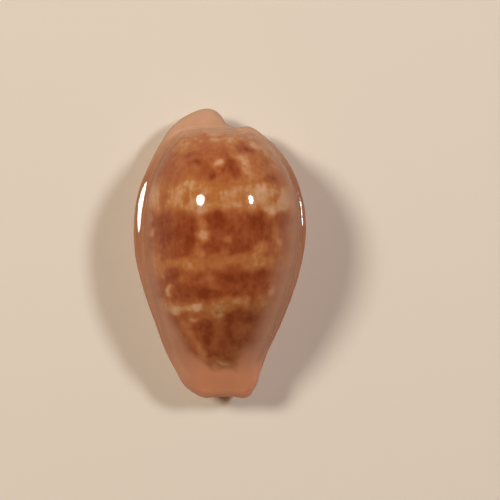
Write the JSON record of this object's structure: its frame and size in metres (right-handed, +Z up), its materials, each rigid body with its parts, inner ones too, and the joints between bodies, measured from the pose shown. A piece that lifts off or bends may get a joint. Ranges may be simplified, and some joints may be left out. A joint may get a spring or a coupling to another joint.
{
  "type": "cowrie shell",
  "caption": "Glossy pear-shaped cowrie shell with a mottled brown back, orange-pink ends and a long toothed aperture in its base.",
  "frame": {"origin": "middle of the shell's box in X and Y, on the plane the base rests on", "axes": "+Z up through the back of the shell, +Y towards the broad posterior end, -X towards the outer (labral) lip"},
  "size_m": [0.0214, 0.036, 0.0176],
  "materials": {
    "polished_shell": "naturally enamelled, high gloss, mottled brown over tan with mauve-pink margins and salmon ends"
  },
  "bodies": {
    "root": {"cowrie_shell": "polished_shell"}
  },
  "joints": []
}
